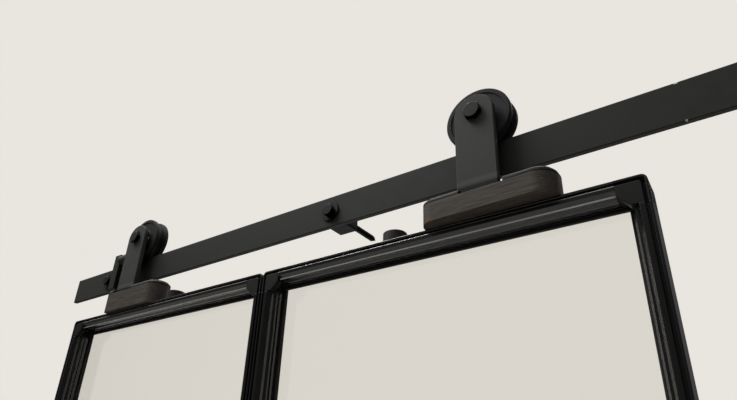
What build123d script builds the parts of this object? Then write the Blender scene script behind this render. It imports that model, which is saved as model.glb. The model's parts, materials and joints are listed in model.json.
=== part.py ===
from build123d import *
import os
from math import sqrt

# Top-hung sliding door of two glazed panels, hung by two grooved wheels from a flat track bar.
# Millimetres. X runs along the track, +Y goes into the wall, +Z is up.
# The origin is on the wall plane, on the axis of the middle track fixing.
# The door is drawn shut, just short of the left-hand end stop.

# Track bar and its wall fixings
track_length = 2040.0
track_height = 40.0
track_thickness = 6.0
track_edge_chamfer = 0.6
fixing_count = 5
fixing_inset = 100.0
standoff_length = 30.0
standoff_side = 27.0
standoff_corner_radius = 3.0
standoff_chamfer = 0.6
coach_neck_diameter = 7.0
coach_thread_diameter = 8.0
coach_thread_length = 50.0
coach_tip_length = 8.0
coach_tip_diameter = 2.0
coach_head_across_flats = 13.0
coach_head_height = 5.5
coach_hole_clearance = 0.5
washer_diameter = 24.0
washer_thickness = 2.0

# Door leaf
door_width = 820.0
door_height = 2040.0
door_depth = 28.5
door_to_track_gap = 50.4
door_front_to_track = 24.4
door_start_from_track_end = 74.0
panel_gap = 2.4

# Frame bar section: inward steps, each with the depth at which it lies
lip_width = 2.2
lip_groove_width = 2.5
lip_groove_depth = 4.0
front_face_width = 4.1
slope_width = 2.8
slope_depth = 3.6
ridge_width = 1.8
ridge_wall_depth = 3.8
ramp_width = 2.0
ramp_depth = 2.8
shadow_groove_start = 1.8
shadow_groove_depth = 1.4
shadow_groove_width = 3.0
shadow_groove_slope = 0.6
front_edge_rounding = 0.6
channel_front = 19.4
channel_width = 7.6
channel_cover = 2.8
back_lip_reach = 17.0
chamber_outer_wall = 1.8
chamber_front = 5.6
chamber_channel_wall = 1.6
chamber_back_wall = 1.8

# Corner pieces
corner_reach = 24.4
corner_cut = 9.7
corner_outer_radius = 5.0
corner_plate_depth = 8.0
corner_edge_chamfer = 0.4
peg_length = 30.0
peg_clearance = 0.2

# Glass and its rubber
glass_thickness = 4.0
glass_edge_clearance = 0.8
gasket_clearance = 0.3
gasket_reach = 18.9
gasket_nose_width = 2.7
gasket_nose_height = 2.2
gasket_web_height = 0.9
gasket_nose_rounding = 0.88

# Strip between the panels
strip_front = 5.0
strip_back = 27.0
strip_end_setback = 2.0

# Hangers
hanger_from_left = 109.5
hanger_from_right = 140.8
strap_width = 42.0
strap_thickness = 6.0
strap_front = 5.6
strap_foot_length = 22.0
strap_bend_radius = 3.0
strap_edge_chamfer = 0.8
block_chamfer = 3.0
foot_recess_clearance = 0.5
front_notch_shift = 11.0
# Left block
left_block_length = 114.0
left_block_depth = 36.0
left_block_height = 34.0
left_block_overhang = 5.0
left_block_turn = 0.0
left_block_past_strap = 3.0
left_block_left_radius = 4.0
left_block_right_radius = 17.5
# Right block
right_block_length = 128.7
right_block_depth = 42.0
right_block_height = 25.3
right_block_overhang = 15.1
right_block_turn = -1.8
right_block_past_strap = 32.0
right_block_left_radius = 14.5
right_block_right_radius = 17.6

# Wheels and axles
roll_clearance = 0.3
groove_radius = 30.7
groove_width = 9.0
groove_floor_width = 7.0
flange_radius = 35.2
flange_edge_radius = 1.5
wheel_width = 21.6
wheel_bore_chamfer = 0.8
hub_face_radius = 17.5
rim_face_radius = 30.0
wheel_face_recess = 0.8
axle_diameter = 10.0
axle_clearance = 0.2
axle_head_across_flats = 17.0
axle_head_height = 5.5
right_bolt_turn = 15.0
axle_nut_height = 8.4
axle_end_past_nut = 2.5
axle_washer_diameter = 20.0
axle_washer_thickness = 2.0
bearing_diameter = 30.0
bearing_width = 9.0
bearing_inner_diameter = 18.0
bearing_gap = 0.3
spacer_diameter = 14.0
rear_spacer_past_wheel = 1.0

# Screws that hold the hanger feet, through the wooden block and into the top rail
foot_screw_spacing = 22.0
foot_screw_from_end = 7.4
foot_screw_diameter = 6.0
foot_screw_head_diameter = 11.0
foot_screw_head_height = 3.5
foot_screw_past_rail = 6.0
screw_clearance = 0.3
head_edge_share = 0.6

# Discs on the door's top edge that keep the wheels from lifting off
disc_diameter = 25.0
disc_height = 12.0
disc_edge_radius = 1.0
left_disc_from_block = 16.0
right_disc_from_block = 30.3
disc_screw_diameter = 5.0
disc_screw_head_diameter = 9.6
disc_screw_head_height = 2.6
disc_screw_past_rail = 6.0

# End stops
stop_from_track_end = 122.5
stop_width = 15.0
stop_thickness = 8.0
stop_height = 58.4
stop_chamfer = 0.6
bumper_diameter = 16.0
bumper_length = 20.0
bumper_below_top = 10.0
bumper_edge_radius = 1.5
bumper_stem_diameter = 6.0
bumper_stem_length = 9.0
stop_screw_diameter = 6.0
stop_screw_head_diameter = 11.0
stop_screw_head_height = 3.0
stop_screw_spacing = 22.0
stop_screw_depth = 5.5

# Places worked out from the sizes above
track_front = -standoff_length - track_thickness
track_top = track_height / 2
track_bottom = -track_height / 2
door_front = track_front - door_front_to_track
door_top = track_bottom - door_to_track_gap
door_left = -track_length / 2 + door_start_from_track_end
door_right = door_left + door_width
panel_width = (door_width - panel_gap) / 2
axle_z = track_top + groove_radius + roll_clearance
wheel_y = -standoff_length - track_thickness / 2
strap_y = door_front + strap_front
strap_back = strap_y + strap_thickness
block_top = {"left": door_top + left_block_height, "right": door_top + right_block_height}
foot_bottom = {side: top - strap_thickness for side, top in block_top.items()}
screw_line_y = strap_y + strap_foot_length - foot_screw_from_end
hanger_x = {"left": door_left + hanger_from_left, "right": door_right - hanger_from_right}
block_left = {"left": hanger_x["left"] - strap_width / 2 - left_block_past_strap,
              "right": hanger_x["right"] - strap_width / 2 - right_block_past_strap}
bolt_turn = {"left": 0.0, "right": right_bolt_turn}
disc_x = {"left": block_left["left"] + left_block_length + left_disc_from_block + disc_diameter / 2,
          "right": block_left["right"] - right_disc_from_block - disc_diameter / 2}
stop_side = {"left": -1, "right": 1}
coach_hole = coach_thread_diameter + 2 * coach_hole_clearance
fixing_pitch = (track_length - 2 * fixing_inset) / (fixing_count - 1)
fixing_x = [-track_length / 2 + fixing_inset + i * fixing_pitch for i in range(fixing_count)]
channel_floor = (lip_width + lip_groove_width + front_face_width + slope_width + ridge_width + ramp_width
                 - channel_cover)
channel_back = channel_front + channel_width
inner_wall = channel_floor + channel_cover
glass_inset = channel_floor + glass_edge_clearance

# Planes whose normal is +Y: local x is X, local y points down
facing = Plane(origin=(0, 0, 0), x_dir=(1, 0, 0), z_dir=(0, 1, 0))


def along_y(shape_2d, start, end):
    """Solid between two depths from a flat shape drawn in the facing plane."""
    return Pos(0, start, 0) * extrude(facing * shape_2d, end - start)


def along_z(shape_2d, start, end):
    return Pos(0, 0, start) * extrude(shape_2d, end - start)


def rod_y(diameter, start, end):
    return along_y(Circle(diameter / 2), start, end)


def rod_z(diameter, start, end):
    return along_z(Circle(diameter / 2), start, end)


def hex_head(across_flats, height):
    """Hexagon from y = -height to y = 0, with its outer corners turned off."""
    corner_radius = across_flats / sqrt(3)
    turned = corner_radius - across_flats / 2
    prism = along_y(RegularPolygon(across_flats / 2, 6, major_radius=False), -height, 0)
    blank = rod_y(2 * corner_radius, -height, 0)
    front_edge = blank.edges().sort_by(Axis.Y)[0]
    return prism & chamfer(front_edge, turned * head_edge_share, turned)


def pan_head(diameter, height):
    """Domed screw head that stands on z = 0."""
    head = rod_z(diameter, 0, height)
    return fillet(head.edges().sort_by(Axis.Z)[-1], height * head_edge_share)


def track_bar():
    bar = Box(track_length, track_thickness, track_height)
    bar = chamfer(bar.edges().filter_by(Axis.X), track_edge_chamfer)
    bar = Pos(0, -standoff_length - track_thickness / 2, 0) * bar
    for x in fixing_x:
        bar -= Pos(x, 0, 0) * rod_y(coach_hole, track_front, -standoff_length)
    for side in stop_side:
        for z in stop_screw_heights():
            bar -= Pos(stop_x(side), 0, z) * stop_screw()
    return bar


def standoff():
    """Square spacer block with rounded corners between the track and the wall."""
    face = RectangleRounded(standoff_side, standoff_side, standoff_corner_radius)
    body = along_y(face, -standoff_length, 0)
    body = chamfer(body.faces().filter_by(Axis.Y).edges(), standoff_chamfer)
    return body - rod_y(coach_hole, -standoff_length, 0)


def coach_screw():
    """Hexagon head, plain neck through the standoff, then the part that goes into the wall."""
    head_back = track_front - washer_thickness
    screw = Pos(0, head_back, 0) * hex_head(coach_head_across_flats, coach_head_height)
    screw += rod_y(coach_neck_diameter, head_back, 0)
    screw += rod_y(coach_thread_diameter, 0, coach_thread_length)
    tip = Cone(coach_thread_diameter / 2, coach_tip_diameter / 2, coach_tip_length)
    screw += Pos(0, coach_thread_length + coach_tip_length / 2, 0) * Rot(-90, 0, 0) * tip
    return screw


def washer(diameter, hole, thickness):
    """Flat ring whose back lies on y = 0."""
    return rod_y(diameter, -thickness, 0) - rod_y(hole, -thickness, 0)


def stop_x(side):
    return stop_side[side] * (track_length / 2 - stop_from_track_end)


def stop_screw_heights():
    return [-stop_screw_spacing / 2, stop_screw_spacing / 2]


def stop_screw():
    """Countersunk screw from the back of the track into the stop."""
    neck = stop_screw_diameter / 2
    head = stop_screw_head_diameter / 2
    tip_y = track_front - stop_screw_depth
    outline = Polyline((0, tip_y), (neck, tip_y), (neck, -standoff_length - stop_screw_head_height),
                       (head, -standoff_length), (0, -standoff_length), close=True)
    return revolve(make_face(outline), Axis.Y)


def stop_bar(side):
    bar = Box(stop_width, stop_thickness, stop_height)
    bar = chamfer(bar.edges(), stop_chamfer)
    bar = Pos(stop_x(side), track_front - stop_thickness / 2, track_bottom + stop_height / 2) * bar
    for z in stop_screw_heights():
        bar -= Pos(stop_x(side), 0, z) * stop_screw()
    stem = rod_y(bumper_stem_diameter, 0, bumper_stem_length)
    return bar - bumper_place(side) * stem


def bumper_place(side):
    """Frame on the stop's inner side face whose -Y points towards the middle of the track."""
    inward = -stop_side[side]
    x = stop_x(side) + inward * stop_width / 2
    z = track_bottom + stop_height - bumper_below_top
    return Pos(x, track_front - stop_thickness / 2, z) * Rot(0, 0, 90 * inward)


def stop_bumper(side):
    """Round rubber buffer with a stem pushed into the stop bar."""
    pad = rod_y(bumper_diameter, -bumper_length, 0)
    pad = fillet(pad.edges().sort_by(Axis.Y)[0], bumper_edge_radius)
    return bumper_place(side) * (pad + rod_y(bumper_stem_diameter, 0, bumper_stem_length))


def bar_section():
    """Stepped section of the frame bars: x is the distance in from the panel's edge, y the depth."""
    steps = [(0, door_depth), (0, 0), (lip_width, 0), (lip_width, lip_groove_depth)]
    face_start = lip_width + lip_groove_width
    face_end = face_start + front_face_width
    ridge_start = face_end + slope_width
    ridge_end = ridge_start + ridge_width
    wall_end = slope_depth + ridge_wall_depth
    ramp_end = wall_end + ramp_depth
    groove_start = ramp_end + shadow_groove_start
    groove_floor = inner_wall - shadow_groove_depth
    steps += [(face_start, lip_groove_depth), (face_start, 0), (face_end, 0), (ridge_start, slope_depth)]
    steps += [(ridge_end, slope_depth), (ridge_end, wall_end), (inner_wall, ramp_end)]
    steps += [(inner_wall, groove_start), (groove_floor, groove_start + shadow_groove_slope)]
    steps += [(groove_floor, groove_start + shadow_groove_width - shadow_groove_slope)]
    steps += [(inner_wall, groove_start + shadow_groove_width), (inner_wall, channel_front)]
    steps += [(channel_floor, channel_front), (channel_floor, channel_back)]
    steps += [(back_lip_reach, channel_back), (back_lip_reach, door_depth)]
    outline = make_face(Polyline(*steps, close=True))
    rounded = [(0, 0), (lip_width, 0), (face_start, 0), (face_end, 0), (ridge_end, slope_depth)]
    corners = [outline.vertices().sort_by_distance((x, y, 0))[0] for x, y in rounded]
    return fillet(corners, front_edge_rounding) - chamber_section(0.0)


def chamber_section(clearance):
    """Hollow inside a frame bar, or with a clearance the corner peg that fits it."""
    left = chamber_outer_wall + clearance
    right = channel_floor - chamber_channel_wall - clearance
    front = chamber_front + clearance
    back = door_depth - chamber_back_wall - clearance
    return Pos((left + right) / 2, (front + back) / 2) * Rectangle(right - left, back - front)


def frame_bar(length, edge_distance):
    """Bar along Z whose outer edge lies at x = -edge_distance."""
    return Pos(-edge_distance, 0, 0) * along_z(bar_section(), -length / 2, length / 2)


def corner_outline(reach):
    """Two arms of one width that meet at the panel's corner, drawn in the facing plane."""
    arm = Rectangle(corner_reach, reach, align=(Align.MIN, Align.MIN))
    return arm + Rectangle(reach, corner_reach, align=(Align.MIN, Align.MIN))


def corner_ring(inset, radius):
    """Square from an inset to past the corner piece, with its outer corner rounded."""
    size = 2 * corner_reach
    square = Pos(inset, inset) * Rectangle(size, size, align=(Align.MIN, Align.MIN))
    return fillet(square.vertices().sort_by(lambda v: v.X + v.Y)[0], radius)


def corner_piece():
    """Moulded corner at the panel's upper left, its outer corner on the Y axis."""
    reach = corner_reach
    plate = Polyline((0, 0), (reach, 0), (reach, reach - corner_cut), (reach - corner_cut, reach), (0, reach),
                     close=True)
    piece = along_y(make_face(plate), 0, corner_plate_depth)
    piece += along_y(corner_outline(inner_wall), corner_plate_depth, channel_front)
    piece += along_y(corner_outline(channel_floor), channel_front, channel_back)
    piece += along_y(corner_outline(back_lip_reach), channel_back, door_depth)
    piece &= along_y(corner_ring(0, corner_outer_radius), 0, door_depth)
    groove_start = lip_width
    face_start = lip_width + lip_groove_width
    groove = corner_ring(groove_start, corner_outer_radius - groove_start)
    groove -= corner_ring(face_start, corner_outer_radius - groove_start)
    piece -= along_y(groove, 0, lip_groove_depth)
    piece = chamfer(piece.edges().group_by(Axis.Y)[0], corner_edge_chamfer)
    peg = along_z(chamber_section(peg_clearance), -reach - peg_length, -reach)
    piece += peg
    piece += mirror(Rot(0, -90, 0) * peg, Plane.XY)
    return piece


def glass_pane():
    pane = Box(panel_width - 2 * glass_inset, glass_thickness, door_height - 2 * glass_inset)
    return Pos(0, channel_back - glass_thickness / 2, 0) * pane


def gasket_section():
    """Rubber wedge between the channel's front wall and the glass, with a rounded nose over its edge."""
    glass_front = channel_back - glass_thickness
    hidden_start = channel_floor + gasket_clearance
    nose_start = gasket_reach - gasket_nose_width
    hidden = Pos((hidden_start + inner_wall) / 2, (channel_front + glass_front) / 2)
    hidden *= Rectangle(inner_wall - hidden_start, glass_front - channel_front)
    web = Pos((inner_wall + nose_start) / 2, glass_front - gasket_web_height / 2)
    web *= Rectangle(nose_start - inner_wall, gasket_web_height)
    nose = Rectangle(gasket_nose_width, gasket_nose_height)
    nose = fillet(nose.vertices().group_by(Axis.Y)[0], gasket_nose_rounding)
    nose = Pos(gasket_reach - gasket_nose_width / 2, glass_front - gasket_nose_height / 2) * nose
    return hidden + web + nose


def gasket():
    """Four strips round one pane: the upright ones run through, the level ones fit between them."""
    strips = []
    full = door_height - 2 * (channel_floor + gasket_clearance)
    between = panel_width - 2 * gasket_reach
    for angle, length, edge in ((0, full, panel_width / 2), (90, between, door_height / 2),
                                (180, full, panel_width / 2), (270, between, door_height / 2)):
        strip = Pos(-edge, 0, 0) * along_z(gasket_section(), -length / 2, length / 2)
        strips.append(Rot(0, angle, 0) * strip)
    return strips


def panel_strip():
    """Filler strip in the joint between the two panels."""
    height = door_height - 2 * strip_end_setback
    strip = Box(panel_gap, strip_back - strip_front, height)
    return Pos(door_left + door_width / 2, door_front + (strip_front + strip_back) / 2,
               door_top - door_height / 2) * strip


def rail_screw_places(side):
    """Where screws enter the top rail of the panel on one side."""
    foot = [(hanger_x[side] + k * foot_screw_spacing / 2, screw_line_y, foot_screw_diameter) for k in (-1, 1)]
    return foot + [(disc_x[side], door_front + door_depth / 2, disc_screw_diameter)]


def strap(foot_under):
    """Flat steel bent back at its foot, round at the top about the axle; x = 0 is its middle."""
    top = axle_z + strap_width / 2
    foot_top = foot_under + strap_thickness
    foot_end = strap_y + strap_foot_length
    side = make_face(Polyline((strap_y, top), (strap_y, foot_under), (foot_end, foot_under),
                              (foot_end, foot_top), (strap_back, foot_top), (strap_back, top), close=True))
    corners = side.vertices()
    outer = corners.sort_by_distance((strap_y, foot_under, 0))[0]
    side = fillet(outer, strap_bend_radius + strap_thickness)
    inner = side.vertices().sort_by_distance((strap_back, foot_top, 0))[0]
    side = fillet(inner, strap_bend_radius)
    profile_plane = Plane(origin=(-strap_width / 2, 0, 0), x_dir=(0, 1, 0), z_dir=(1, 0, 0))
    blank = extrude(profile_plane * side, strap_width)
    height = axle_z - foot_under
    front_view = Pos(0, -foot_under - height / 2) * Rectangle(strap_width, height)
    front_view += Pos(0, -axle_z) * Circle(strap_width / 2)
    blank &= along_y(front_view, strap_y, foot_end)
    front = blank.faces().sort_by(Axis.Y)[0]
    rim = [e for e in front.edges() if e.center().Z > foot_top + strap_bend_radius + strap_thickness]
    blank = chamfer(rim, strap_edge_chamfer)
    blank -= Pos(0, 0, axle_z) * rod_y(axle_diameter + 2 * axle_clearance, strap_y, strap_back)
    for k in (-1, 1):
        hole = rod_z(foot_screw_diameter + 2 * screw_clearance, foot_under, foot_top)
        blank -= Pos(k * foot_screw_spacing / 2, screw_line_y, 0) * hole
    return blank


def block(side, length, depth, overhang, turn, left_radius, right_radius):
    """Wooden block on the door's top edge, with a recess in its top for the strap's foot."""
    top = block_top[side]
    plan = Rectangle(length, depth)
    plan = fillet(plan.vertices().group_by(Axis.X)[0], left_radius)
    plan = fillet(plan.vertices().group_by(Axis.X)[-1], right_radius)
    body = along_z(plan, door_top, top)
    body = chamfer(body.edges().group_by(Axis.Z)[-1], block_chamfer)
    body = Pos(block_left[side] + length / 2, door_front - overhang + depth / 2, 0) * Rot(0, 0, turn) * body
    recess_back = strap_y + strap_foot_length + foot_recess_clearance
    recess_front = strap_y - foot_recess_clearance
    recess_width = strap_width + 2 * foot_recess_clearance
    recess = Box(recess_width, recess_back - recess_front, 2 * strap_thickness)
    body -= Pos(hanger_x[side], (recess_front + recess_back) / 2, top) * recess
    notch = Box(recess_width, depth, 2 * strap_thickness, align=(Align.CENTER, Align.MAX, Align.CENTER))
    body -= Pos(hanger_x[side] + front_notch_shift, recess_front, top) * notch
    for x, y, diameter in rail_screw_places(side)[:2]:
        body -= Pos(x, y, 0) * rod_z(diameter + 2 * screw_clearance, door_top, top)
    return body


def wheel():
    """Grooved wheel round the Y axis, centred on y = 0, bored for its bearing, with recessed faces."""
    half = wheel_width / 2
    bore = bearing_diameter / 2
    recess = wheel_face_recess
    back = [(bore, half - wheel_bore_chamfer), (bore + wheel_bore_chamfer, half), (hub_face_radius, half),
            (hub_face_radius + recess, half - recess), (rim_face_radius - recess, half - recess),
            (rim_face_radius, half), (flange_radius, half), (flange_radius, groove_width / 2),
            (groove_radius, groove_floor_width / 2)]
    front = [(radius, -y) for radius, y in reversed(back)]
    section = make_face(Polyline(*back, *front, close=True))
    section = fillet(section.vertices().group_by(Axis.X)[-1], flange_edge_radius)
    return revolve(section, Axis.Y)


def bearing_ring(inner_radius, outer_radius):
    half = bearing_width / 2
    ring = Pos((inner_radius + outer_radius) / 2, 0) * Rectangle(outer_radius - inner_radius, 2 * half)
    return revolve(ring, Axis.Y)


def axle_bolt():
    """Hexagon-headed bolt through the strap, spacers, bearing and nut; the axle is the Y axis."""
    bolt = Pos(0, strap_y, 0) * hex_head(axle_head_across_flats, axle_head_height)
    return bolt + rod_y(axle_diameter, strap_y, nut_back() + axle_end_past_nut)


def rear_washer_front():
    return wheel_y + wheel_width / 2 + rear_spacer_past_wheel


def nut_back():
    return rear_washer_front() + axle_washer_thickness + axle_nut_height


def axle_nut():
    nut = Rot(0, 0, 180) * hex_head(axle_head_across_flats, axle_nut_height)
    nut = Pos(0, nut_back() - axle_nut_height, 0) * nut
    return nut - rod_y(axle_diameter, wheel_y, nut_back())


def tube_y(outer, inner, start, end):
    return rod_y(outer, start, end) - rod_y(inner, start, end)


def foot_screw(x, top):
    """Pan-headed screw down through the foot and the block into the hollow rail."""
    end = door_top - chamber_outer_wall - foot_screw_past_rail
    screw = Pos(0, 0, top) * pan_head(foot_screw_head_diameter, foot_screw_head_height)
    screw += rod_z(foot_screw_diameter, end, top)
    return Pos(x, screw_line_y, 0) * screw


def disc_screw():
    """Countersunk screw through a disc, its head level with the disc's top."""
    top = door_top + disc_height
    neck = disc_screw_diameter / 2
    head = disc_screw_head_diameter / 2
    end = door_top - chamber_outer_wall - disc_screw_past_rail
    outline = Polyline((0, end), (neck, end), (neck, top - disc_screw_head_height), (head, top), (0, top),
                       close=True)
    return revolve(Plane.XZ * make_face(outline), Axis.Z)


def disc(side):
    body = rod_z(disc_diameter, door_top, door_top + disc_height)
    body = fillet(body.edges().group_by(Axis.Z)[-1], disc_edge_radius)
    body -= disc_screw()
    return Pos(disc_x[side], door_front + door_depth / 2, 0) * body


parts = {}
parts["track_bar"] = track_bar()
for number, x in enumerate(fixing_x, start=1):
    parts["standoff_%d" % number] = Pos(x, 0, 0) * standoff()
parts["coach_screws"] = [Pos(x, 0, 0) * coach_screw() for x in fixing_x]
parts["coach_washers"] = [Pos(x, track_front, 0) * washer(washer_diameter, coach_hole, washer_thickness)
                          for x in fixing_x]
for side in stop_side:
    parts["stop_bar_" + side] = stop_bar(side)
    parts["stop_bumper_" + side] = stop_bumper(side)
parts["stop_screws"] = [Pos(stop_x(side), 0, z) * stop_screw()
                        for side in stop_side for z in stop_screw_heights()]

panel_centre = {"left": door_left + panel_width / 2, "right": door_right - panel_width / 2}
for side, centre in panel_centre.items():
    place = Pos(centre, door_front, door_top - door_height / 2)
    stile = frame_bar(door_height - 2 * corner_reach, panel_width / 2)
    rail = frame_bar(panel_width - 2 * corner_reach, door_height / 2)
    parts[side + "_panel_left_stile"] = place * stile
    top_rail = place * Rot(0, 90, 0) * rail
    for x, y, diameter in rail_screw_places(side):
        hole = rod_z(diameter + 2 * screw_clearance, door_top - chamber_outer_wall, door_top)
        top_rail -= Pos(x, y, 0) * hole
    parts[side + "_panel_top_rail"] = top_rail
    parts[side + "_panel_right_stile"] = place * Rot(0, 180, 0) * stile
    parts[side + "_panel_bottom_rail"] = place * Rot(0, 270, 0) * rail
    corner = corner_piece()
    for name, angle, across, up in (("top_left", 0, -1, 1), ("top_right", 90, 1, 1),
                                    ("bottom_right", 180, 1, -1), ("bottom_left", 270, -1, -1)):
        at_corner = Pos(across * panel_width / 2, 0, up * door_height / 2)
        parts[side + "_panel_corner_" + name] = place * at_corner * Rot(0, angle, 0) * corner
    parts[side + "_panel_glass"] = place * glass_pane()
    parts[side + "_panel_gasket"] = [place * strip for strip in gasket()]
parts["panel_strip"] = panel_strip()

front_spacer_end = wheel_y - bearing_width / 2
for side, x in hanger_x.items():
    parts["strap_" + side] = Pos(x, 0, 0) * strap(foot_bottom[side])
    axle = Pos(x, 0, axle_z)
    parts["axle_bolt_" + side] = axle * Rot(0, bolt_turn[side], 0) * axle_bolt()
    parts["axle_nut_" + side] = axle * axle_nut()
    spacer_hole = axle_diameter + 2 * axle_clearance
    parts["axle_spacers_" + side] = [
        axle * tube_y(spacer_diameter, spacer_hole, strap_back, front_spacer_end),
        axle * tube_y(spacer_diameter, spacer_hole, wheel_y + bearing_width / 2, rear_washer_front())]
    parts["axle_washer_" + side] = axle * tube_y(axle_washer_diameter, spacer_hole, rear_washer_front(),
                                                rear_washer_front() + axle_washer_thickness)
    parts["bearing_inner_" + side] = axle * Pos(0, wheel_y, 0) * bearing_ring(
        axle_diameter / 2, bearing_inner_diameter / 2)
    parts["bearing_outer_" + side] = axle * Pos(0, wheel_y, 0) * bearing_ring(
        bearing_inner_diameter / 2 + bearing_gap, bearing_diameter / 2)
    parts["wheel_" + side] = axle * Pos(0, wheel_y, 0) * wheel()
    parts["foot_screws_" + side] = [foot_screw(x + k * foot_screw_spacing / 2, block_top[side])
                                    for k in (-1, 1)]
    parts["lift_disc_" + side] = disc(side)
parts["block_left"] = block("left", left_block_length, left_block_depth, left_block_overhang, left_block_turn,
                            left_block_left_radius, left_block_right_radius)
parts["block_right"] = block("right", right_block_length, right_block_depth, right_block_overhang,
                             right_block_turn, right_block_left_radius, right_block_right_radius)
parts["disc_screws"] = [Pos(x, door_front + door_depth / 2, 0) * disc_screw() for x in disc_x.values()]

os.makedirs("parts", exist_ok=True)
for name, shape in parts.items():
    if isinstance(shape, list):
        shape = Compound(children=shape)
    export_step(shape, "parts/" + name + ".step")
    box = shape.bounding_box()
    print("%-34s %9.1f mm3  x %8.1f %8.1f  y %7.1f %7.1f  z %8.1f %8.1f" % (
        name, shape.volume, box.min.X, box.max.X, box.min.Y, box.max.Y, box.min.Z, box.max.Z))
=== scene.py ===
# %% [markdown]
# A sliding door of two glazed panels hangs from two grooved wheels on a flat steel track.
# The solids come from the CAD model and keep their places. This script gives them their real
# surfaces and adds the fine things a solid leaves out, such as screw threads and driver sockets.
# It could all be modelled afresh in Blender, but then the sizes would drift from the CAD model.

# %% load the CAD model
import json
import math

import bmesh
import bpy
from mathutils import Matrix, Vector


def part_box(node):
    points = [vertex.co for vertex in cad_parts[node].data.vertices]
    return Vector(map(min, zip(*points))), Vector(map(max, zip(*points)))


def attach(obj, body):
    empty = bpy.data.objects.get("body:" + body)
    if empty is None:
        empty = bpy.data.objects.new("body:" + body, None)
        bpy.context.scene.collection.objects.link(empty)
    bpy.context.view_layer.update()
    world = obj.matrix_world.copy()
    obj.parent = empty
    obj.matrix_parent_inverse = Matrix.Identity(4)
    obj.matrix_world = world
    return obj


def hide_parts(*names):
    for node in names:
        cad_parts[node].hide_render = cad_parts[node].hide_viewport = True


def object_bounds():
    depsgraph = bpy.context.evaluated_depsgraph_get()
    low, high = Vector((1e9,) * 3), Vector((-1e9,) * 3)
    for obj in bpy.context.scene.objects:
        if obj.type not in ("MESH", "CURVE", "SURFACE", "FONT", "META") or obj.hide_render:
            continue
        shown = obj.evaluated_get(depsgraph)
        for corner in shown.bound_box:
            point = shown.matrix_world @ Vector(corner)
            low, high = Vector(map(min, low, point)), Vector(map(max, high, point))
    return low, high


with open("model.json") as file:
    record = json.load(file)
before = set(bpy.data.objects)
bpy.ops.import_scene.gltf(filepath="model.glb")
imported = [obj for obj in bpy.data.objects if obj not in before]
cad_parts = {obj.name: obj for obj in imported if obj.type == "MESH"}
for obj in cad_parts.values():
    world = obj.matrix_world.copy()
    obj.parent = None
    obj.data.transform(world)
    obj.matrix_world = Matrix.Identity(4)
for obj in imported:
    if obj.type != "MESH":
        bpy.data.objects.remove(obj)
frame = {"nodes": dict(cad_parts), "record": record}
cad_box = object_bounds()
print("CAD box:", cad_box)

# %% [markdown]
# Colours are noted as the eye sees them, in sRGB hex, and Blender calculates with linear light.
# One function turns the one into the other. Texture scales are written from real sizes: a texture
# with a scale of 1000 / 5 has features of about 5 mm, because the scene is in metres. A pattern
# of nodes can be drawn by hand in the editor. Here one small function adds each node and its links.
# A Mix node for colours takes its factor at socket 0 and its two colours at sockets 6 and 7.

# %% colours, sizes and nodes
mm = 0.001


def linear(hex_colour):
    """Linear RGBA from an sRGB hex colour."""
    channels = [int(hex_colour[i:i + 2], 16) / 255 for i in (1, 3, 5)]
    return [c / 12.92 if c <= 0.04045 else ((c + 0.055) / 1.055) ** 2.4 for c in channels] + [1.0]


def features_of(millimetres):
    """Texture scale for features of this size."""
    return 1000 / millimetres


def add(tree, kind, inputs=None, **settings):
    """Adds a node with its settings. Each input takes a value or another node's output."""
    made = tree.nodes.new(kind)
    for name, value in settings.items():
        setattr(made, name, value)
    for name, value in (inputs or {}).items():
        if isinstance(value, bpy.types.NodeSocket):
            tree.links.new(value, made.inputs[name])
        else:
            made.inputs[name].default_value = value
    return made


print("Mid grey #808080 is", round(linear("#808080")[0], 3), "in linear light")

# %% [markdown]
# The photograph looks up from below the track and along it to the left. The camera could be set
# by eye, but a fit of it to the corners of the door, the wheels and the bolts gave these figures.
# The small shift stands for a picture that was cropped a little above its middle.

# %% camera at the photograph's place
camera_data = bpy.data.cameras.new("camera")
camera_data.sensor_width = 36.0
camera_data.sensor_fit = "HORIZONTAL"
camera_data.lens = 26.576
camera_data.shift_y = 0.0576
camera_data.clip_start = 0.01
camera = bpy.data.objects.new("camera", camera_data)
bpy.context.scene.collection.objects.link(camera)
turn_left, look_up, roll = (math.radians(angle) for angle in (35.85, 25.02, 2.16))
camera.matrix_world = (Matrix.Translation((-0.09083, -0.46865, -0.30284))
                       @ Matrix.Rotation(turn_left, 4, "Z")
                       @ Matrix.Rotation(math.pi / 2 + look_up, 4, "X")
                       @ Matrix.Rotation(roll, 4, "Z"))
bpy.context.scene.camera = camera
bpy.context.scene.view_settings.view_transform = "Standard"
print("Camera at", tuple(round(v, 3) for v in camera.location))

# %% [markdown]
# A studio floor is a plain pale sheet. The door hangs 10 mm above it, as a sliding door does.
# The world gives soft light from everywhere. What the camera sees of it, also through the glass,
# is a pale wall colour, so the background can be bright without lighting the door more. What
# glossy surfaces mirror of it is dim, so their flat faces stay black, as in a room with few lamps.

# %% floor and surroundings
floor_reach = 4.5
floor_clearance = 10
floor_z = cad_box[0][2] - floor_clearance * mm
floor_mesh = bpy.data.meshes.new("studio_floor")
floor_mesh.from_pydata([(-floor_reach, -floor_reach, floor_z), (floor_reach, -floor_reach, floor_z),
                        (floor_reach, floor_reach, floor_z), (-floor_reach, floor_reach, floor_z)],
                       [], [(0, 1, 2, 3)])
floor = bpy.data.objects.new("studio_floor", floor_mesh)
bpy.context.scene.collection.objects.link(floor)
pale_floor = bpy.data.materials.new("pale_matt_floor")
pale_floor.use_nodes = True
floor_shader = pale_floor.node_tree.nodes["Principled BSDF"]
floor_shader.inputs["Base Color"].default_value = linear("#dcdad6")
floor_shader.inputs["Roughness"].default_value = 0.85
floor_mesh.materials.append(pale_floor)

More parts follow.
